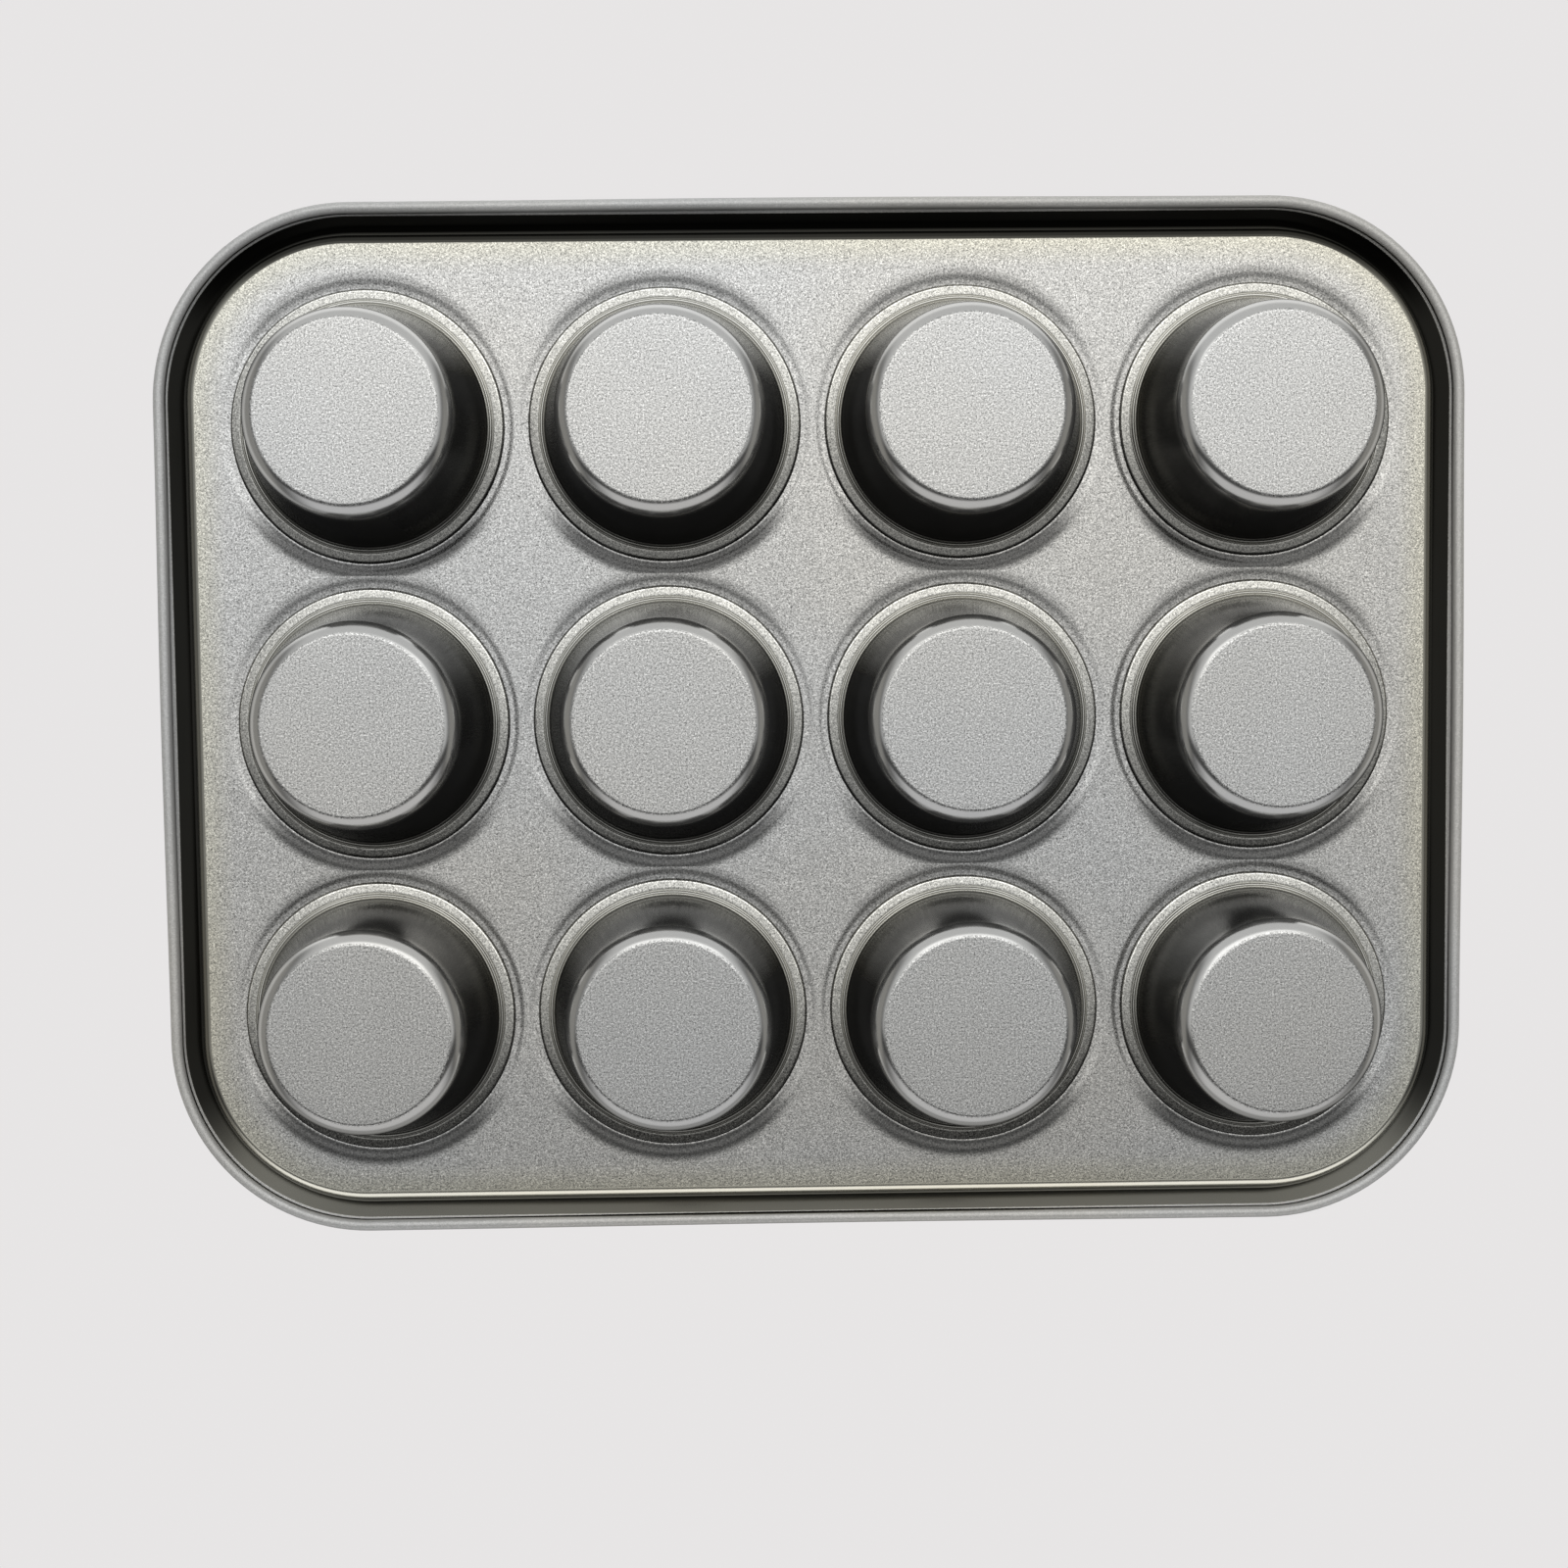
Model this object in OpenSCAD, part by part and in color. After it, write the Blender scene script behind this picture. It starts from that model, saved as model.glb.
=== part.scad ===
// Muffin tin: twelve drawn steel cups locked into a deck with a wired, rolled rim.
// It lies as it is used, mouths up. Z = 0 is the plane under the cup bottoms,
// the origin is the centre of the tin, X runs along its long side.

/* [Tin] */
// Overall length, over the rolled rim
tin_l = 351.5; // [345:0.5:380]
// Overall width, over the rolled rim
tin_w = 277; // [270:0.5:300]
// Corner radius of the outline
corner_r = 53; // [45:1:58]
// Thickness of the steel sheet
sheet = 0.5; // [0.5:0.05:0.7]

/* [Cup layout] */
// Number of cups along X
columns = 4; // [2:1:4]
// Number of cups along Y
rows = 3; // [1:1:3]
// Distance between cup centres, both ways
pitch = 79; // [78:0.5:80]

/* [Cup] */
// Height of the deck's underside over the cup bottoms
deck_z = 28; // [24:0.5:34]
// Radius of the flat of the cup's bottom
base_r = 22.9; // [20:0.1:25]
// Outer radius of the rounded corner of the bottom
base_round = 3.9; // [2:0.1:4]
// Outer radius of the cup's wall where it meets the seat
mouth_r = 32; // [30:0.1:32.5]
// Outer radius of the flat seat round the mouth
seat_r = 36.05; // [35.5:0.05:36.5]
// How far the seat stands below the deck's underside
seat_drop = 0.5; // [0.3:0.05:0.8]

/* [Rim] */
// Radius of the bend at the deck's edge, on the underside
edge_bend = 2.7; // [2:0.1:3]
// Distance from the outline in to the raised wall
wall_in = 8.6; // [8:0.1:10]
// Radius of the rim's crown, on the underside
crown_bend = 1.2; // [0.8:0.1:1.6]
// Fall of the rim from its crown out to the rolled edge, in degrees
rim_slope = 28; // [20:1:35]
// Outer radius of the rolled edge
roll_r = 1.6; // [1.4:0.05:1.8]
// Height of the rolled edge's middle over the deck's underside
roll_rise = 1.9; // [1.5:0.1:3]

/* [Hidden] */

$fn = 96;
steel = [0.46, 0.46, 0.45];
wire_steel = [0.62, 0.62, 0.64];

half_sheet = sheet / 2;
fine_bend = 3;
wide_bend = 6;
roll_steps = 16;
corner_steps = 10;

// The lip that hooks over the deck's collar
collar_gap = 0.08;
curl_in_r = half_sheet + collar_gap;
curl_r = seat_r + curl_in_r;
curl_z = deck_z + sheet + 0.5;
collar_top = curl_z + 0.15;
collar_in = curl_r - half_sheet;
collar_out = curl_r + half_sheet;

// The shoulder between wall and seat
seat_z = deck_z - seat_drop;
shoulder_r = 0.6;
seat_round = 1;
groove_r = 33.35;
groove_w = 0.3;
groove_depth = 0.2;

// Lean of the cup's wall from the vertical
wall_rise = seat_z - base_round;
wall_lean = atan((mouth_r - base_r - base_round) / wall_rise);
shoulder_at = mouth_r + shoulder_r;

// The rim's sloping part touches the crown bend and the roll at the same angle
roll_z = deck_z + roll_rise;
roll_in = roll_r - sheet;
wire_r = roll_in - 0.05;
touch_at = 90 - rim_slope;
roll_end = -232;
wall_x = -wall_in;
crown_x = wall_x + crown_bend;
crown_run = -roll_r - crown_x;
crown_z = roll_z + (roll_in - crown_bend + crown_run * cos(touch_at)) / sin(touch_at);
deck_lap = 6;
lap_mid = deck_lap / 2;

function cup_name(r, c) = str("cup_r", r, "_c", c);

// Points of an arc about [x, z] from angle a to angle b
function arc(x, z, r, a, b, steps) =
    [for (i = [0:steps]) let (t = a + (b - a) * i / steps) [x + r * cos(t), z + r * sin(t)]];

function reversed(list) = [for (i = [len(list) - 1:-1:0]) list[i]];

// Underside of the cup's sheet, from the axis out and over the collar
cup_under = concat(
    [[0, 0]],
    arc(base_r, base_round, base_round, -90, -wall_lean, wide_bend),
    arc(shoulder_at, seat_z - shoulder_r, shoulder_r, 180 - wall_lean, 90, fine_bend),
    [[groove_r - groove_w / 2, seat_z],
     [groove_r, seat_z + groove_depth],
     [groove_r + groove_w / 2, seat_z]],
    arc(seat_r - seat_round, seat_z + seat_round, seat_round, -90, 0, wide_bend),
    arc(curl_r, curl_z, curl_in_r, 180, 0, wide_bend),
    [[curl_r + curl_in_r, deck_z + sheet]]);

// Upper side of the cup's sheet, the same bends one sheet thickness away
cup_upper = concat(
    [[0, sheet]],
    arc(base_r, base_round, base_round - sheet, -90, -wall_lean, wide_bend),
    arc(shoulder_at, seat_z - shoulder_r, shoulder_r + sheet, 180 - wall_lean, 90, fine_bend),
    arc(seat_r - seat_round, seat_z + seat_round, seat_round - sheet, -90, 0, wide_bend),
    arc(curl_r, curl_z, curl_in_r + sheet, 180, 0, wide_bend),
    [[curl_r + curl_in_r + sheet, deck_z + sheet]]);

// Section of the rim, x measured from the outline (negative is inward)
rim_under = concat(
    [[wall_x - edge_bend - deck_lap, deck_z]],
    arc(wall_x - edge_bend, deck_z + edge_bend, edge_bend, -90, 0, wide_bend),
    arc(crown_x, crown_z, crown_bend, 180, touch_at, wide_bend),
    arc(-roll_r, roll_z, roll_in, touch_at, roll_end, roll_steps));
rim_upper = concat(
    [[wall_x - edge_bend - deck_lap, deck_z + sheet]],
    arc(wall_x - edge_bend, deck_z + edge_bend, edge_bend - sheet, -90, 0, wide_bend),
    arc(crown_x, crown_z, crown_bend + sheet, 180, touch_at, wide_bend),
    arc(-roll_r, roll_z, roll_r, touch_at, roll_end, roll_steps));

// Children placed at every cup centre
module at_cups() {
    for (r = [1:rows])
        for (c = [1:columns])
            at_cup(r, c) children();
}

// Children placed at one cup centre, row 1 at the front and column 1 at the left
module at_cup(r, c) {
    x = (c - (columns + 1) / 2) * pitch;
    y = (r - (rows + 1) / 2) * pitch;
    translate([x, y, 0]) children();
}

// One section carried round the outline: four straight runs and four corners.
// The section's x is measured from the outline, so it is shifted by the corner radius.
module round_outline() {
    run_x = tin_l - 2 * corner_r;
    run_y = tin_w - 2 * corner_r;
    for (side = [0, 1]) {
        rotate([0, 0, 180 * side]) {
            translate([run_x / 2, run_y / 2, 0])
                rotate_extrude(angle = 90) translate([corner_r, 0]) children();
            translate([-run_x / 2, run_y / 2, 0])
                rotate([0, 0, 90])
                    rotate_extrude(angle = 90) translate([corner_r, 0]) children();
            translate([tin_l / 2, run_y / 2, 0])
                rotate([90, 0, 0]) linear_extrude(height = run_y) children();
            translate([-run_x / 2, tin_w / 2, 0])
                rotate([90, 0, 90]) linear_extrude(height = run_x) children();
        }
    }
}

// The flat of the deck, its edge under the rim section's inner lap
module deck_plate() {
    inset = wall_in + edge_bend + lap_mid;
    round_r = corner_r - inset;
    cx = tin_l / 2 - corner_r;
    cy = tin_w / 2 - corner_r;
    outline = concat(
        arc(cx, cy, round_r, 0, 90, corner_steps),
        arc(-cx, cy, round_r, 90, 180, corner_steps),
        arc(-cx, -cy, round_r, 180, 270, corner_steps),
        arc(cx, -cy, round_r, 270, 360, corner_steps));
    translate([0, 0, deck_z]) linear_extrude(height = sheet) polygon(outline);
}

// Deck with its collared holes, raised wall, sloping rim and rolled edge
module deck_frame() {
    color(steel) difference() {
        union() {
            round_outline() polygon(concat(rim_under, reversed(rim_upper)));
            deck_plate();
            at_cups() translate([0, 0, deck_z]) cylinder(r = collar_out, h = collar_top - deck_z);
        }
        at_cups() translate([0, 0, deck_z - 1]) cylinder(r = collar_in, h = collar_top - deck_z + 2);
    }
}

// The steel wire that the rim is rolled round
module rim_wire() {
    color(wire_steel) round_outline() translate([-roll_r, roll_z]) circle(r = wire_r, $fn = 32);
}

// One cup: flat bottom, leaning wall, seat and the lip that hooks over the collar
module cup(r, c) {
    color(steel) at_cup(r, c) rotate_extrude() polygon(concat(cup_under, reversed(cup_upper)));
}

deck_frame();
rim_wire();
for (r = [1:rows])
    for (c = [1:columns])
        cup(r, c);
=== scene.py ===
"""Looks of the muffin tin: coated sheet steel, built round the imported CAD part.
Metres, in the row's frame: mouths up, Z = 0 under the cup bottoms, X along the long side."""

import math

import bmesh
import bpy
from mathutils import Matrix, Vector


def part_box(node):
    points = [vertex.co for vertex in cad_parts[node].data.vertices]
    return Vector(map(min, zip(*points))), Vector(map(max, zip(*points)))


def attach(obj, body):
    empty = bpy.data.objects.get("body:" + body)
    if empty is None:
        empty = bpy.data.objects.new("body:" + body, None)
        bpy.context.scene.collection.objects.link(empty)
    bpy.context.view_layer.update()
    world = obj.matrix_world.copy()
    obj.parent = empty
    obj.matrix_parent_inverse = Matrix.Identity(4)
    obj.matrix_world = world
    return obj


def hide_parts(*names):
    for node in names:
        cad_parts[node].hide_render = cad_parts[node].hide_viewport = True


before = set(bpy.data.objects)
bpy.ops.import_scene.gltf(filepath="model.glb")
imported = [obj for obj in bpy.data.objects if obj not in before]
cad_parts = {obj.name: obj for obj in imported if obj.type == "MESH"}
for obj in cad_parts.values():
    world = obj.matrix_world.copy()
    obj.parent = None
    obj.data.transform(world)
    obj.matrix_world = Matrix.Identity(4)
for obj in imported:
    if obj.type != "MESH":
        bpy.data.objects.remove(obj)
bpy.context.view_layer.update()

MM = 0.001
SHEET = 0.5 * MM
ROWS, COLUMNS = 3, 4

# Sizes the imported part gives
deck_low, deck_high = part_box("deck_frame")
wire_low, wire_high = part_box("rim_wire")
DECK_Z = deck_low.z
HALF_L, HALF_W = deck_high.x, deck_high.y

# Cup section
BASE_R = 22.9 * MM
# Bends from the bottom to the wall: outer radius, and the tilt where each ends
BASE_BENDS = ((1.6 * MM, 20.0), (5.5 * MM, 60.0), (4.0 * MM, 77.6))
WALL_LEAN = 12.4
MOUTH_R = 32.0 * MM
SEAT_Z = DECK_Z - 0.5 * MM
SEAT_R = 36.05 * MM
SEAT_ROUND = 0.45 * MM
SEAT_FALL = 0.30 * MM
BEAD_IN, BEAD_TOP, GROOVE_R, BAND_IN = 32.2 * MM, 32.8 * MM, 33.38 * MM, 33.65 * MM
BEAD_RISE, GROOVE_DEPTH = 0.28 * MM, 0.2 * MM
# Crease between wall and seat: distance past the mouth's radius, and depth below the seat
CREASE = ((-0.02 * MM, 0.35 * MM), (0.03 * MM, 0.12 * MM), (0.12 * MM, 0.02 * MM))
# Bend over the mouth on the upper side: its middle past the mouth and below the seat, radius
MOUTH_BEND = (1.0 * MM, 0.8 * MM, 1.3 * MM)
FOOT_BEVEL = 0.2 * MM
CURL_GAP = 0.08 * MM
CURL_RISE = 0.5 * MM
LIP_GAP = 0.02 * MM
CUP_TURNS = 160

# Deck section round each cup
DISH_OUT, DISH_IN, DISH_DEPTH = 39.25 * MM, 37.3 * MM, 0.26 * MM
COLLAR_BEND = 0.32 * MM
COLLAR_TOP = DECK_Z + SHEET + CURL_RISE + 0.15 * MM
HOLE_TURNS = 128
DECK_RING = 39.35 * MM
PITCH = 79.0 * MM

# Rim section, x measured from the outline
CORNER_R = 53.0 * MM
EDGE_BEND = 2.7 * MM
WALL_IN = 8.6 * MM
CROWN_BEND = 1.2 * MM
RIM_TOUCH = 62.0
ROLL_R = 1.6 * MM
ROLL_END = -232.0
ROLL_Z = (wire_low.z + wire_high.z) / 2
LAP, LAP_FLAT = 5.0 * MM, 0.4 * MM
CORNER_STEPS = 28
STRAIGHT_STEPS = 14
# How far each straight run of the rolled edge bows out in its middle: back, left, front, right
BOWS = (-0.30 * MM, 0.35 * MM, 0.35 * MM, 0.40 * MM)


# ---------------------------------------------------------------- sections

def arc(x, z, r, a, b, steps):
    """Points of an arc about (x, z), from angle a to b in degrees."""
    out = []
    for i in range(steps + 1):
        t = math.radians(a + (b - a) * i / steps)
        out.append((x + r * math.cos(t), z + r * math.sin(t)))
    return out


def ramp(t):
    """Smooth step from 0 to 1."""
    t = min(1.0, max(0.0, t))
    return t * t * (3 - 2 * t)


def straight(a, b, steps):
    """Points between a and b, ends left out."""
    return [(a[0] + (b[0] - a[0]) * i / steps, a[1] + (b[1] - a[1]) * i / steps)
            for i in range(1, steps)]


def base_corner(inset):
    """The cup's corner: a tight bend off the flat, a wide one, then up to the wall."""
    out = []
    x, z, start = BASE_R, 0.0, 0.0
    for r, end in BASE_BENDS:
        a, b = math.radians(start), math.radians(end)
        cx, cz = x - r * math.sin(a), z + r * math.cos(a)
        bend = arc(cx, cz, r - inset, start - 90, end - 90, 9)
        out += bend if not out else bend[1:]
        x, z, start = cx + r * math.sin(b), cz - r * math.cos(b), end
    return out


def seat_under():
    """Crease, bead, groove and flat band of the seat, on the underside."""
    out = [(MOUTH_R + past, SEAT_Z - depth) for past, depth in CREASE]
    for i in range(9):
        t = i / 8
        out.append((BEAD_IN + (BEAD_TOP - BEAD_IN) * t, SEAT_Z - BEAD_RISE * math.sin(t * math.pi / 2)))
    for i in range(1, 9):
        t = i / 8
        fall = (BEAD_RISE + GROOVE_DEPTH) * (1 - math.cos(t * math.pi)) / 2
        out.append((BEAD_TOP + (GROOVE_R - BEAD_TOP) * t, SEAT_Z - BEAD_RISE + fall))
    for i in range(1, 6):
        t = i / 5
        out.append((GROOVE_R + (BAND_IN - GROOVE_R) * t, SEAT_Z + GROOVE_DEPTH * (1 - ramp(t))))
    return out


def cup_section():
    """Closed section of a cup's sheet: underside from the axis out, then back above it."""
    curl_in = SHEET / 2 + CURL_GAP
    curl_r = SEAT_R + curl_in
    curl_z = DECK_Z + SHEET + CURL_RISE
    lip_z = deck_top(curl_r + curl_in + SHEET / 2) + LIP_GAP
    under = [(0, 0)] + [(BASE_R * i / 6, 0) for i in range(1, 6)]
    under += base_corner(0)
    corner_end = under[-1]
    seat = seat_under()
    under += straight(corner_end, seat[0], 10) + seat
    lean_out = math.degrees(math.atan2(SEAT_FALL, SEAT_R - SEAT_ROUND - BAND_IN))
    edge_z = SEAT_Z + SEAT_FALL + SEAT_ROUND
    edge = arc(SEAT_R - SEAT_ROUND, edge_z, SEAT_ROUND, -90 + lean_out, 0, 8)
    under += straight(seat[-1], edge[0], 4) + edge
    under += arc(curl_r, curl_z, curl_in, 180, 0, 10)
    under.append((curl_r + curl_in, lip_z))
    upper = [(0, SHEET)] + [(BASE_R * i / 6, SHEET) for i in range(1, 6)]
    upper += base_corner(SHEET)
    past, depth, bend = MOUTH_BEND
    mouth = arc(MOUTH_R + past, SEAT_Z - depth, bend, 180 - WALL_LEAN, 90, 8)
    upper += straight(upper[-1], mouth[0], 10) + mouth
    foot = (SEAT_R - SHEET - FOOT_BEVEL, SEAT_Z + SHEET + SEAT_FALL)
    upper += straight(mouth[-1], foot, 4) + [foot, (SEAT_R - SHEET, foot[1] + FOOT_BEVEL)]
    upper += arc(curl_r, curl_z, curl_in + SHEET, 180, 0, 12)
    upper.append((curl_r + curl_in + SHEET, lip_z))
    return under, upper


def dish(r):
    """How far the deck sinks towards the cup at radius r."""
    return DISH_DEPTH * ramp((DISH_OUT - r) / (DISH_OUT - DISH_IN))


def deck_top(r):
    return DECK_Z + SHEET + dish(r)


def hole_section():
    """Deck beside a hole, from the flat in to the collar: underside, then top, outside in."""
    collar_in = SEAT_R + SHEET / 2 + CURL_GAP - SHEET / 2
    collar_out = collar_in + SHEET
    steps = 12
    radii = [DECK_RING] + [DISH_OUT + (DISH_IN - DISH_OUT) * i / steps for i in range(steps + 1)]
    low = [(r, DECK_Z + dish(r)) for r in radii]
    low += arc(collar_in + COLLAR_BEND, DECK_Z + DISH_DEPTH + COLLAR_BEND, COLLAR_BEND, -90, -180, 6)
    low.append((collar_in, COLLAR_TOP))
    high = [(r, deck_top(r)) for r in radii]
    high += [(collar_out, deck_top(collar_out)), (collar_out, COLLAR_TOP)]
    return low, high


def rim_section():
    """Rim from the deck's flat out to the end of the roll: underside, then upper side."""
    bend_x = -WALL_IN - EDGE_BEND
    bend_z = DECK_Z + EDGE_BEND
    crown_x = -WALL_IN + CROWN_BEND
    roll_in = ROLL_R - SHEET
    touch = math.radians(RIM_TOUCH)
    run = -ROLL_R - crown_x
    crown_z = ROLL_Z + (roll_in - CROWN_BEND + run * math.cos(touch)) / math.sin(touch)
    sides = []
    for inset, roll in ((0, roll_in), (SHEET, ROLL_R)):
        line = [(bend_x - LAP, DECK_Z + inset), (bend_x - LAP + LAP_FLAT, DECK_Z + inset)]
        line += arc(bend_x, bend_z, EDGE_BEND - inset, -90, 0, 14)
        line += arc(crown_x, crown_z, CROWN_BEND + inset, 180, RIM_TOUCH, 10)
        rolled = arc(-ROLL_R, ROLL_Z, roll, RIM_TOUCH, ROLL_END, 36)
        line += straight(line[-1], rolled[0], 4) + rolled
        sides.append(line)
    return sides


# ---------------------------------------------------------------- meshes

WELD = 0.001 * MM
SHARP = math.radians(38)


def finish_mesh(name, bm, material):
    """Mesh object from bm: welded, outward, smooth with sharp sheet edges."""
    bmesh.ops.remove_doubles(bm, verts=bm.verts, dist=WELD)
    bmesh.ops.recalc_face_normals(bm, faces=bm.faces)
    mesh = bpy.data.meshes.new(name)
    bm.to_mesh(mesh)
    bm.free()
    mesh.shade_smooth()
    mesh.set_sharp_from_angle(angle=SHARP)
    mesh.materials.append(material)
    piece = bpy.data.objects.new(name, mesh)
    bpy.context.scene.collection.objects.link(piece)
    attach(piece, "root")
    return piece


def quads(bm, loops):
    """Faces between neighbouring closed loops of points."""
    rows = [[bm.verts.new(p) for p in loop] for loop in loops]
    for a, b in zip(rows, rows[1:]):
        n = len(a)
        for i in range(n):
            j = (i + 1) % n
            bm.faces.new((a[i], a[j], b[j], b[i]))
    return rows


def turned(points, centre, turns):
    """Loops of points, each section point carried round a vertical axis."""
    angles = [2 * math.pi * i / turns for i in range(turns)]
    return [[(centre.x + r * math.cos(a), centre.y + r * math.sin(a), z) for a in angles]
            for r, z in points]


def make_cup(name, centre, material):
    """One cup, a closed sheet of steel turned round its axis."""
    under, upper = cup_section()
    section = under[1:] + upper[:0:-1]
    bm = bmesh.new()
    rows = quads(bm, turned(section, centre, CUP_TURNS))
    for ring, z in ((rows[0], under[0][1]), (rows[-1], upper[0][1])):
        hub = bm.verts.new((centre.x, centre.y, z))
        for i in range(CUP_TURNS):
            bm.faces.new((ring[i], ring[(i + 1) % CUP_TURNS], hub))
    return finish_mesh(name, bm, material)


def outline_path():
    """Stations round the outline: point, outward normal, and the share along a straight side."""
    hx, hy = HALF_L - CORNER_R, HALF_W - CORNER_R
    corners = ((hx, hy, 0), (-hx, hy, 90), (-hx, -hy, 180), (hx, -hy, 270))
    out = []
    for i, (cx, cy, start) in enumerate(corners):
        for k in range(CORNER_STEPS + 1):
            a = math.radians(start + 90 * k / CORNER_STEPS)
            n = Vector((math.cos(a), math.sin(a), 0))
            out.append((Vector((cx, cy, 0)) + n * CORNER_R, n, None))
        nx, ny, _ = corners[(i + 1) % 4]
        a = math.radians(start + 90)
        n = Vector((math.cos(a), math.sin(a), 0))
        p0 = Vector((cx, cy, 0)) + n * CORNER_R
        p1 = Vector((nx, ny, 0)) + n * CORNER_R
        for k in range(1, STRAIGHT_STEPS):
            t = k / STRAIGHT_STEPS
            out.append((p0.lerp(p1, t), n, (i, t)))
    return out


def swept(points, path):
    """Loops of points: each section point carried round the outline, the roll bowed a little."""
    loops = []
    for x, z in points:
        share = ramp((x + WALL_IN) / (WALL_IN - 2 * ROLL_R))
        loop = []
        for p, n, where in path:
            bow = 0 if where is None else BOWS[where[0]] * math.sin(math.pi * where[1]) ** 2
            q = p + n * (x + share * bow)
            loop.append((q.x, q.y, z))
        loops.append(loop)
    return loops


def close_end(bm, a, b):
    """Strip of faces between the last loops of the two sides of the sheet."""
    n = len(a)
    for i in range(n):
        j = (i + 1) % n
        bm.faces.new((a[i], a[j], b[j], b[i]))


def fill_plate(bm, outer, holes):
    """Flat plate inside the outer loop, open at the holes."""
    edges = []
    for loop in [outer] + holes:
        n = len(loop)
        for i in range(n):
            a, b = loop[i], loop[(i + 1) % n]
            edges.append(bm.edges.get((a, b)) or bm.edges.new((a, b)))
    bmesh.ops.triangle_fill(bm, use_beauty=True, use_dissolve=False, edges=edges,
                            normal=(0, 0, 1))


def make_deck(centres, material):
    """Deck plate with a dished hole for each cup, raised edge, crown and rolled hem."""
    bm = bmesh.new()
    path = outline_path()
    rim_low, rim_high = rim_section()
    rim_rows = [quads(bm, swept(side, path)) for side in (rim_low, rim_high)]
    close_end(bm, rim_rows[0][-1], rim_rows[1][-1])
    hole_low, hole_high = hole_section()
    rings = ([], [])
    for centre in centres:
        sides = [quads(bm, turned(side, centre, HOLE_TURNS)) for side in (hole_low, hole_high)]
        close_end(bm, sides[0][-1], sides[1][-1])
        for found, side in zip(rings, sides):
            found.append(side[0])
    for side, holes in zip(rim_rows, rings):
        fill_plate(bm, side[0], holes)
    return finish_mesh("coated_deck_frame", bm, material)


# ---------------------------------------------------------------- materials

class Nodes:
    """Short calls for building a node tree."""

    def __init__(self, tree):
        self.tree = tree
        tree.nodes.clear()

    def add(self, kind, **values):
        node = self.tree.nodes.new(kind)
        for key, value in values.items():
            if key in node.inputs:
                self.put(node.inputs[key], value)
            else:
                setattr(node, key, value)
        return node

    def put(self, socket, value):
        if isinstance(value, bpy.types.NodeSocket):
            self.tree.links.new(value, socket)
        else:
            socket.default_value = value

    def math(self, operation, a, b=0.0):
        node = self.tree.nodes.new("ShaderNodeMath")
        node.operation = operation
        self.put(node.inputs[0], a)
        self.put(node.inputs[1], b)
        return node.outputs[0]

    def spread(self, value, low, high, to_low=0.0, to_high=1.0):
        """Smooth change from to_low to to_high while the value goes from low to high."""
        node = self.tree.nodes.new("ShaderNodeMapRange")
        node.interpolation_type = "SMOOTHSTEP"
        for i, v in enumerate((value, low, high, to_low, to_high)):
            self.put(node.inputs[i], v)
        return node.outputs[0]

    def mix(self, share, a, b, blend="MIX"):
        node = self.tree.nodes.new("ShaderNodeMix")
        node.data_type = "RGBA"
        node.blend_type = blend
        self.put(node.inputs[0], share)
        self.put(node.inputs[6], a)
        self.put(node.inputs[7], b)
        return node.outputs[2]

    def noise(self, where, scale, detail, roughness):
        node = self.add("ShaderNodeTexNoise", Vector=where, Scale=scale, Detail=detail,
                        Roughness=roughness)
        return node.outputs[0]

    def bump(self, height, strength, distance):
        node = self.add("ShaderNodeBump", Height=height, Strength=strength, Distance=distance)
        return node.outputs[0]

    def even(self, level):
        """Grey of a level that changes over the surface."""
        node = self.add("ShaderNodeCombineColor", Red=level, Green=level, Blue=level)
        return node.outputs[0]

    def show(self, shader, kind="ShaderNodeOutputMaterial"):
        self.put(self.add(kind).inputs["Surface"], shader.outputs[0])


def new_material(name):
    material = bpy.data.materials.new(name)
    material.use_nodes = True
    return material, Nodes(material.node_tree)


def grey(v, tint=(1.0, 1.0, 1.0)):
    return (v * tint[0], v * tint[1], v * tint[2], 1.0)


# Painted light and shade on the coating, as shares of the flat's own tone: the cups' corner
# bands and the roll lighter, the walls darker, and painted light and shade on bead, seat, seam
# and the deck's ring round each hole that changes by side. A pair changes from the -Y to the +Y
# side of a cup or of the tin, and a triple from the -Y side over the ends to the +Y side.
CORNER_PAINTED_LIGHT = 1.2
WALL_PAINTED_SHADE = 0.38
BEAD_PAINTED_LIGHT_AND_SHADE = (1.5, 0.45)
SEAT_PAINTED_SHADE = (0.95, 0.4275)
SEAM_PAINTED_LIGHT_AND_SHADOW = (1.9, 0.15)
RING_PAINTED_SHADOW = (0.6, 0.16)
ROLL_PAINTED_LIGHT = 1.25
# Painted highlight: a lighter band along the deck's edge, on the ends and the +Y side
EDGE_PAINTED_HIGHLIGHT = 1.06
# Painted shade in the rim's dark channel, and painted light and shade on the strip of raised wall
# between it and the deck
CHANNEL_PAINTED_SHADE = (0.04, 0.18)
STRIP_PAINTED_LIGHT_AND_SHADE = (0.08, 0.5, 2.3)

# Where those parts of a cup meet, each a pair of radii that the change is spread over
FLAT_END = (BASE_R + 0.5 * MM, BASE_R + 1.0 * MM)
CORNER_END = (BASE_R + 3.4 * MM, BASE_R + 4.4 * MM)
WALL_END = (MOUTH_R - 0.1 * MM, MOUTH_R + 0.15 * MM)
BEAD_END = (BAND_IN - 0.15 * MM, BAND_IN + 0.1 * MM)
SEAT_END = (SEAT_R - 0.55 * MM, SEAT_R - 0.35 * MM)
UPPER_WALL = (MOUTH_R - 4 * MM, MOUTH_R)
RING_FROM = (36.2 * MM, 37.0 * MM)
RING_END = (38.8 * MM, 42.5 * MM)

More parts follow.
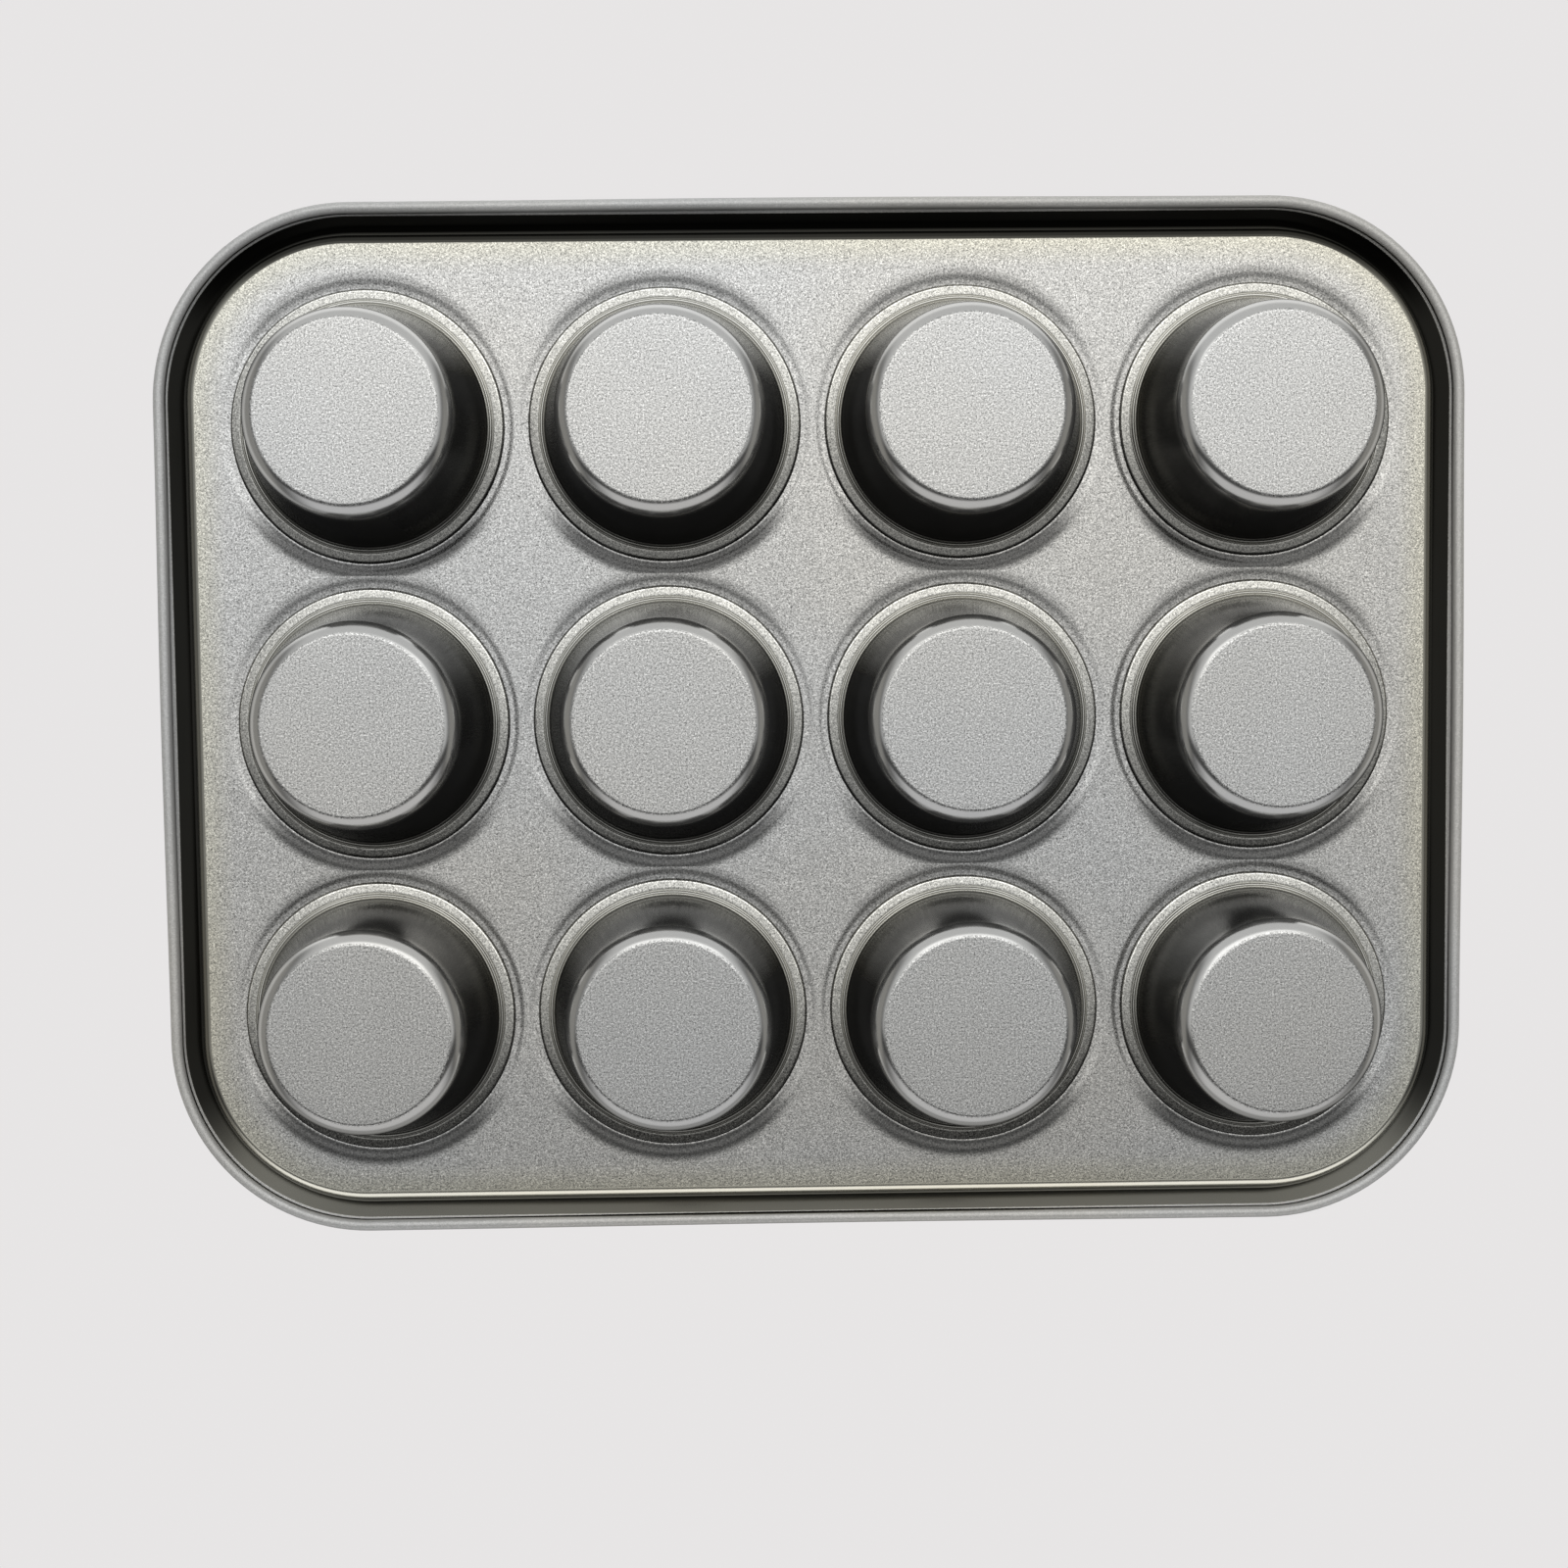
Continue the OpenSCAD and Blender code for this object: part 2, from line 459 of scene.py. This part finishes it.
# The same for the deck's edge and rim, as distances in from the outline
ROLL_IN = (3.0 * MM, 3.3 * MM)
STRIP_FROM = (8.4 * MM, 8.7 * MM)
CHANNEL_END = (11.1 * MM, 11.5 * MM)
BAND_END = (12.5 * MM, 15.0 * MM)
# Where the painted olive reflection fades in from the outline, and its share on the cups
OLIVE_REFLECTION_END = (11.0 * MM, 20.0 * MM)
OLIVE_REFLECTION_ON_CUP = 0.4

# Specular tint at grazing angles: on the deck, and on a cup by the way its sheet faces; on a cup it is
# nearly cut where the sheet doesn't face -Y, a painted shade
DECK_SHINE = 0.12
CUP_SHINE_AND_SHADE = (1.0, 0.03)
CUP_SHINE_Y = (-0.97, -0.2)

# Colours and finish
DECK_TONE, DECK_WARM = 0.36, 0.8
CUP_TONE, CUP_WARM = 0.37, 0.5
# Olive tint of the painted warm reflection
OLIVE_REFLECTION = (1.03, 1.01, 0.90, 1.0)
WARM = (1.03, 1.0, 0.93)
COOL = (1.0, 1.0, 0.98)
METAL, ROLL_METAL = 0.9, 0.5
ROUGH_FLAT, ROUGH_DRAWN, ROUGH_ROLL, ROUGH_SPECK = 0.27, 0.17, 0.30, 0.25
COAT_SHARE, COAT_ROUGH = 0.3, 0.12

# Flake: scale of each noise, and how much it changes the level or the height
GRAIN, FLAKE, CLOUD, DRIFT, WAVES = 1850.0, 3100.0, 70.0, 9.0, 28.0
LEVEL, SPECK_SHARE, GLINT_SHARE, CLOUD_SHARE, WAVE_SHARE = 0.97, 4.0, 0.30, 0.10, 2.2
BUMP_DEPTH = 0.06 * MM


def from_cup(n, at):
    """Distance from the axis of the nearest cup, and the share of it that lies along Y."""
    x, y, _ = n.add("ShaderNodeSeparateXYZ", Vector=at).outputs
    offsets = []
    for value, count in ((x, COLUMNS), (y, ROWS)):
        turn = n.math("FLOOR", n.math("ADD", n.math("DIVIDE", value, PITCH), count / 2))
        turn = n.math("MINIMUM", n.math("MAXIMUM", turn, 0.0), count - 1.0)
        middle = n.math("MULTIPLY", n.math("SUBTRACT", turn, (count - 1) / 2), PITCH)
        offsets.append(n.math("SUBTRACT", value, middle))
    squares = [n.math("MULTIPLY", v, v) for v in offsets]
    r = n.math("SQRT", n.math("ADD", squares[0], squares[1]))
    return r, n.math("DIVIDE", offsets[1], r)


def drawn_cup(n, at, facing):
    """Smooth share, tone, grazing shine, roll share and olive share of the cup.

    They go by the radius from the cup's axis, and on the seat also by the side it is on.
    The tone is painted light and shade: a lighter corner band, darker walls, bead and seam
    lighter on the -Y side, and bead, seat and seam darker on the +Y side. The shine is nearly
    cut where the sheet doesn't face -Y, a painted shade, and the olive share is a painted warm
    reflection.
    """
    r, along = from_cup(n, at)
    smooth = n.math("MULTIPLY", n.spread(r, *FLAT_END), n.spread(r, *BEAD_END, 1.0, 0.0))
    # Painted light and shade: lighter corner band, darker walls, bead and seam lighter on the -Y side,
    # and bead, seat and seam darker on the +Y side
    tone = n.spread(r, *FLAT_END, 1.0, CORNER_PAINTED_LIGHT)
    tone = n.spread(r, *CORNER_END, tone, WALL_PAINTED_SHADE)
    tone = n.spread(r, *WALL_END, tone, n.spread(along, -0.5, 0.8, *BEAD_PAINTED_LIGHT_AND_SHADE))
    tone = n.spread(r, *BEAD_END, tone, n.spread(along, -0.5, 0.8, *SEAT_PAINTED_SHADE))
    tone = n.spread(r, *SEAT_END, tone, n.spread(along, -0.5, 0.6, *SEAM_PAINTED_LIGHT_AND_SHADOW))
    # Painted shade: the grazing reflection is nearly cut where the sheet doesn't face -Y
    facing_y = n.add("ShaderNodeSeparateXYZ", Vector=facing).outputs[1]
    shine = n.spread(facing_y, *CUP_SHINE_Y, *CUP_SHINE_AND_SHADE)
    # Olive tint from the upper wall outwards, a painted warm reflection
    olive = n.spread(r, *UPPER_WALL, 0.0, OLIVE_REFLECTION_ON_CUP)
    return smooth, tone, shine, 0.0, olive


def from_outline(n, at):
    """Distance in from the tin's outline, and how far the nearest edge faces +Y (-1 to 1)."""
    x, y, _ = n.add("ShaderNodeSeparateXYZ", Vector=at).outputs
    qx = n.math("SUBTRACT", n.math("ABSOLUTE", x), HALF_L - CORNER_R)
    qy = n.math("SUBTRACT", n.math("ABSOLUTE", y), HALF_W - CORNER_R)
    px, py = n.math("MAXIMUM", qx, 0.0), n.math("MAXIMUM", qy, 0.0)
    corner = n.math("SQRT", n.math("ADD", n.math("MULTIPLY", px, px), n.math("MULTIPLY", py, py)))
    flat_side = n.math("MINIMUM", n.math("MAXIMUM", qx, qy), 0.0)
    inset = n.math("SUBTRACT", CORNER_R, n.math("ADD", corner, flat_side))
    toward = n.math("MULTIPLY", n.math("DIVIDE", py, corner), n.math("SIGN", y))
    return inset, toward


def drawn_deck(n, at, facing):
    """Smooth share, tone, grazing shine, roll share and olive share of the deck and rim.

    The tone carries a painted shadow round each hole, a painted highlight along the deck's edge,
    a lighter roll and painted light and shade in the rim's channel and strip; the olive share is
    a painted warm reflection.
    """
    inset, toward = from_outline(n, at)
    facing_z = n.add("ShaderNodeSeparateXYZ", Vector=facing).outputs[2]
    below = n.math("SUBTRACT", 1.0, n.math("GREATER_THAN", facing_z, 0.0))
    channel = n.math("MULTIPLY", n.spread(inset, *ROLL_IN), n.spread(inset, *CHANNEL_END, 1.0, 0.0))
    channel = n.math("MULTIPLY", channel, below)
    rolled = n.spread(inset, *ROLL_IN, 1.0, 0.0)
    smooth = n.math("MAXIMUM", channel, n.math("MULTIPLY", rolled, 0.75))
    # Painted light and shade on the rim's underside: the channel nearly black, a little lighter towards
    # +Y; the strip dark on the -Y side, mid over the ends, light on the +Y side
    strip_tone = n.spread(toward, -0.9, -0.55, STRIP_PAINTED_LIGHT_AND_SHADE[0], STRIP_PAINTED_LIGHT_AND_SHADE[1])
    strip_tone = n.spread(toward, 0.3, 0.8, strip_tone, STRIP_PAINTED_LIGHT_AND_SHADE[2])
    channel_tone = n.spread(toward, 0.3, 0.8, *CHANNEL_PAINTED_SHADE)
    drawn_tone = n.spread(inset, *STRIP_FROM, channel_tone, strip_tone)
    r, along = from_cup(n, at)
    # Painted shadow in a ring round each hole, on its -Y and +Y sides, darker on the +Y side
    ring = n.math("MULTIPLY", n.spread(r, *RING_FROM), n.spread(r, *RING_END, 1.0, 0.0))
    ring = n.math("MULTIPLY", ring, n.spread(n.math("ABSOLUTE", along), 0.35, 0.9))
    tone = n.spread(ring, 0.0, 1.0, 1.0, n.spread(along, -0.3, 0.3, *RING_PAINTED_SHADOW))
    # Painted highlight: a lighter band along the deck's edge, except on the -Y side
    band = n.spread(toward, -0.9, -0.5, 1.0, EDGE_PAINTED_HIGHLIGHT)
    tone = n.math("MULTIPLY", tone, n.spread(inset, *BAND_END, band, 1.0))
    # Painted light: the roll lighter than the flat
    tone = n.spread(rolled, 0.0, 1.0, tone, ROLL_PAINTED_LIGHT)
    tone = n.spread(channel, 0.0, 1.0, tone, drawn_tone)
    # Olive tint near the rim, not on the roll: a painted warm reflection
    olive = n.math("MULTIPLY", n.spread(inset, *OLIVE_REFLECTION_END, 1.0, 0.0),
                   n.math("SUBTRACT", 1.0, rolled))
    return smooth, tone, DECK_SHINE, rolled, olive


def flake_level(n, at, mixed, speck, flaked):
    """Brightness of the coating: speckle, brighter glints and faint clouds."""
    glint = n.math("MULTIPLY", n.spread(mixed, 0.53, 0.70), flaked)
    cloud = n.math("SUBTRACT", n.noise(at, CLOUD, 3.0, 0.55), 0.5)
    level = n.math("ADD", LEVEL, n.math("MULTIPLY", speck, SPECK_SHARE))
    level = n.math("ADD", level, n.math("MULTIPLY", glint, GLINT_SHARE))
    return n.math("ADD", level, n.math("MULTIPLY", cloud, CLOUD_SHARE))


def coating(name, tone, warm_share, drawn_share):
    """Non-stick coating with metal flake on the flats, smoother where the sheet is drawn.

    Its colour also carries the painted light, shade and warm reflection that drawn_share gives.
    """
    material, n = new_material(name)
    at = n.add("ShaderNodeTexCoord").outputs["Object"]
    facing = n.add("ShaderNodeNewGeometry").outputs["Normal"]
    facing_z = n.add("ShaderNodeSeparateXYZ", Vector=facing).outputs[2]
    drawn, shade, shine, rolled, olive = drawn_share(n, at, facing)
    flaked = n.math("MULTIPLY", n.math("SUBTRACT", 1.0, drawn),
                    n.spread(n.math("ABSOLUTE", facing_z), 0.5, 0.95, 0.3, 1.0))
    mixed = n.math("ADD", n.math("MULTIPLY", n.noise(at, GRAIN, 2.0, 0.6), 0.5),
                   n.math("MULTIPLY", n.noise(at, FLAKE, 1.0, 0.5), 0.5))
    speck = n.math("MULTIPLY", n.math("SUBTRACT", mixed, 0.5), flaked)
    # The painted light and shade from drawn_share scale the flake level here
    level = n.math("MULTIPLY", flake_level(n, at, mixed, speck, flaked), shade)
    drift = n.noise(at, DRIFT, 2.0, 0.5)
    tint = n.mix(n.spread(drift, 0.35, 0.65, 0.0, warm_share), grey(tone, COOL), grey(tone, WARM))
    # Olive tint where drawn_share asks for it, a painted warm reflection
    tint = n.mix(olive, tint, n.mix(1.0, tint, OLIVE_REFLECTION, "MULTIPLY"))
    rough = n.math("ADD", n.spread(drawn, 0.0, 1.0, ROUGH_FLAT, ROUGH_DRAWN),
                   n.math("MULTIPLY", speck, ROUGH_SPECK))
    metal = METAL
    if not isinstance(rolled, float):
        rough = n.math("ADD", rough, n.math("MULTIPLY", rolled, ROUGH_ROLL))
        metal = n.spread(rolled, 0.0, 1.0, METAL, ROLL_METAL)
    height = n.math("ADD", speck, n.math("MULTIPLY", n.noise(at, WAVES, 1.0, 0.4), WAVE_SHARE))
    shader = n.add("ShaderNodeBsdfPrincipled", Normal=n.bump(height, 0.6, BUMP_DEPTH))
    n.put(shader.inputs["Base Color"], n.mix(1.0, tint, n.even(level), "MULTIPLY"))
    n.put(shader.inputs["Metallic"], metal)
    n.put(shader.inputs["Roughness"], rough)
    n.put(shader.inputs["Coat Weight"], n.math("MULTIPLY", flaked, COAT_SHARE))
    n.put(shader.inputs["Coat Roughness"], COAT_ROUGH)
    n.put(shader.inputs["Coat Normal"], n.bump(height, 0.25, BUMP_DEPTH))
    n.put(shader.inputs["Specular Tint"],
          grey(shine) if isinstance(shine, float) else n.even(shine))
    n.show(shader)
    return material


def bare_wire(name):
    """Drawn steel wire with fine scratches and faint stains."""
    material, n = new_material(name)
    at = n.add("ShaderNodeTexCoord").outputs["Object"]
    scratch = n.noise(at, 900.0, 3.0, 0.7)
    dirt = n.noise(at, 60.0, 3.0, 0.6)
    colour = n.mix(dirt, (0.52, 0.52, 0.54, 1), (0.62, 0.61, 0.60, 1))
    rough = n.spread(scratch, 0.3, 0.7, 0.25, 0.42)
    bump = n.bump(scratch, 0.3, 0.03 * MM)
    shader = n.add("ShaderNodeBsdfPrincipled", Metallic=1.0, Normal=bump)
    n.put(shader.inputs["Base Color"], colour)
    n.put(shader.inputs["Roughness"], rough)
    n.show(shader)
    return material


# ---------------------------------------------------------------- stage and light

PALE = (0.80, 0.785, 0.785, 1.0)
FLOOR_PAINT = (0.80, 0.795, 0.78, 1.0)
FLOOR_R, FLOOR_Z = 2.4, -0.2 * MM
FLOOR_FADE = (0.5, 0.95 * FLOOR_R)


def make_floor():
    """Pale floor under the tin, seen from above only, fading into the backdrop."""
    bm = bmesh.new()
    bmesh.ops.create_circle(bm, cap_ends=True, segments=96, radius=FLOOR_R)
    mesh = bpy.data.meshes.new("floor")
    bm.to_mesh(mesh)
    bm.free()
    floor = bpy.data.objects.new("floor", mesh)
    bpy.context.scene.collection.objects.link(floor)
    floor.location.z = FLOOR_Z
    material, n = new_material("pale_floor")
    at = n.add("ShaderNodeTexCoord").outputs["Object"]
    away = n.add("ShaderNodeVectorMath", operation="LENGTH")
    n.put(away.inputs[0], at)
    fade = n.spread(away.outputs["Value"], *FLOOR_FADE)
    below = n.add("ShaderNodeNewGeometry").outputs["Backfacing"]
    clear = n.math("MAXIMUM", fade, below)
    paint = n.add("ShaderNodeBsdfDiffuse", Color=FLOOR_PAINT)
    gone = n.add("ShaderNodeBsdfTransparent")
    both = n.add("ShaderNodeMixShader", Fac=clear)
    n.put(both.inputs[1], paint.outputs[0])
    n.put(both.inputs[2], gone.outputs[0])
    n.show(both)
    mesh.materials.append(material)
    for ray in ("diffuse", "glossy", "transmission", "shadow"):
        setattr(floor, "visible_" + ray, False)


# Soft lights of the studio, by where a direction points. Rise is its angle from straight
# down towards -Y, and side its angle off the YZ plane, both in degrees. Each light is
# (rise from, full from, full to, rise to), (side full to, side to), strength, colour.
LOBES = (
    ((-26, -13, 110, 140), (34, 62), 1.0, (0.98, 0.99, 1.0)),
    ((-8, 24, 36, 50), (21, 33), 1.52, (1.0, 1.0, 1.0)),
    ((-100, -80, -50, -38), (30, 60), 1.0, (0.98, 0.98, 1.0)),
)
# Light from both ends, from one side angle to another, and from above, by the height of Z
SIDES = ((50, 64), 0.42, (1.0, 0.98, 0.93))
ABOVE = ((-0.10, 0.25), 0.62, (1.0, 1.0, 1.0))
REST = 0.006
SIDE_SHIFT = 1.0

LAMP_AT, LAMP_SIZE, LAMP_POWER = (-0.5, -0.6, 1.1), 0.7, 9.0

# Camera under the tin: where it stands, and the directions behind it and to its right
LENS, SENSOR = 41.54, 36.0
CAMERA_AT = (-0.01595, -0.00827, DECK_Z - 0.48755)
CAMERA_BACK = (-0.01484, -0.05273, -0.99850)
CAMERA_RIGHT = (0.99982, 0.01103, -0.01544)


def studio_parts(n):
    """The studio's lights, each as (share of the direction, strength, colour)."""
    way = n.add("ShaderNodeTexCoord").outputs["Generated"]
    x, y, z = n.add("ShaderNodeSeparateXYZ", Vector=way).outputs
    rise = n.math("ARCTAN2", n.math("MULTIPLY", y, -1.0), n.math("MULTIPLY", z, -1.0))
    side = n.math("ABSOLUTE", n.math("SUBTRACT", n.math("ARCSINE", x), math.radians(SIDE_SHIFT)))
    rad = math.radians
    parts = []
    for (a, b, c, d), (e, f), strength, colour in LOBES:
        share = n.math("MULTIPLY", n.spread(rise, rad(a), rad(b)),
                       n.spread(rise, rad(c), rad(d), 1.0, 0.0))
        share = n.math("MULTIPLY", share, n.spread(side, rad(e), rad(f), 1.0, 0.0))
        parts.append((share, strength, colour))
    (a, b), strength, colour = SIDES
    parts.append((n.spread(side, rad(a), rad(b)), strength, colour))
    (a, b), strength, colour = ABOVE
    parts.append((n.spread(z, a, b), strength, colour))
    return parts


def make_world():
    """Pale backdrop for the camera, and a soft studio round the tin for everything else."""
    world = bpy.data.worlds.new("studio")
    bpy.context.scene.world = world
    world.use_nodes = True
    n = Nodes(world.node_tree)
    total = grey(REST)
    for share, strength, colour in studio_parts(n):
        lit = n.mix(share, (0, 0, 0, 1), tuple(strength * c for c in colour) + (1.0,))
        total = n.mix(1.0, total, lit, "ADD")
    seen = n.add("ShaderNodeLightPath").outputs["Is Camera Ray"]
    back = n.add("ShaderNodeBackground", Color=n.mix(seen, total, PALE))
    n.show(back, "ShaderNodeOutputWorld")


def make_lamp():
    """Soft square lamp over the tin, aimed at its middle, that the camera doesn't see."""
    lamp = bpy.data.lights.new("overhead", "AREA")
    lamp.size = LAMP_SIZE
    lamp.energy = LAMP_POWER
    holder = bpy.data.objects.new("overhead", lamp)
    bpy.context.scene.collection.objects.link(holder)
    holder.location = LAMP_AT
    holder.rotation_mode = "QUATERNION"
    holder.rotation_quaternion = (-Vector(LAMP_AT)).to_track_quat("-Z", "Y")
    holder.visible_camera = False


def make_camera():
    """Camera under the tin, looking up at the cup bottoms, a little off its middle."""
    data = bpy.data.cameras.new("camera")
    data.lens = LENS
    data.sensor_width = SENSOR
    camera = bpy.data.objects.new("camera", data)
    bpy.context.scene.collection.objects.link(camera)
    back = Vector(CAMERA_BACK).normalized()
    right = Vector(CAMERA_RIGHT)
    right = (right - back * right.dot(back)).normalized()
    up = back.cross(right)
    turn = Matrix((right, up, back)).transposed()
    camera.matrix_world = Matrix.Translation(Vector(CAMERA_AT)) @ turn.to_4x4()
    bpy.context.scene.camera = camera


# ---------------------------------------------------------------- the tin

def cup_name(row, column):
    return f"cup_r{row}_c{column}"


def build():
    deck_coat = coating("coating_deck", DECK_TONE, DECK_WARM, drawn_deck)
    cup_coat = coating("coating_cup", CUP_TONE, CUP_WARM, drawn_cup)
    centres = []
    for row in range(1, ROWS + 1):
        for column in range(1, COLUMNS + 1):
            node = cup_name(row, column)
            low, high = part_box(node)
            centre = (low + high) / 2
            centres.append(centre)
            piece = make_cup("coated_" + node, centre, cup_coat)
            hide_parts(node)
    deck = make_deck(centres, deck_coat)
    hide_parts("deck_frame")
    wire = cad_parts["rim_wire"]
    wire.data.materials.clear()
    wire.data.materials.append(bare_wire("wire_steel"))


build()
make_floor()
make_world()
make_lamp()
make_camera()
bpy.context.scene.view_settings.view_transform = "Standard"
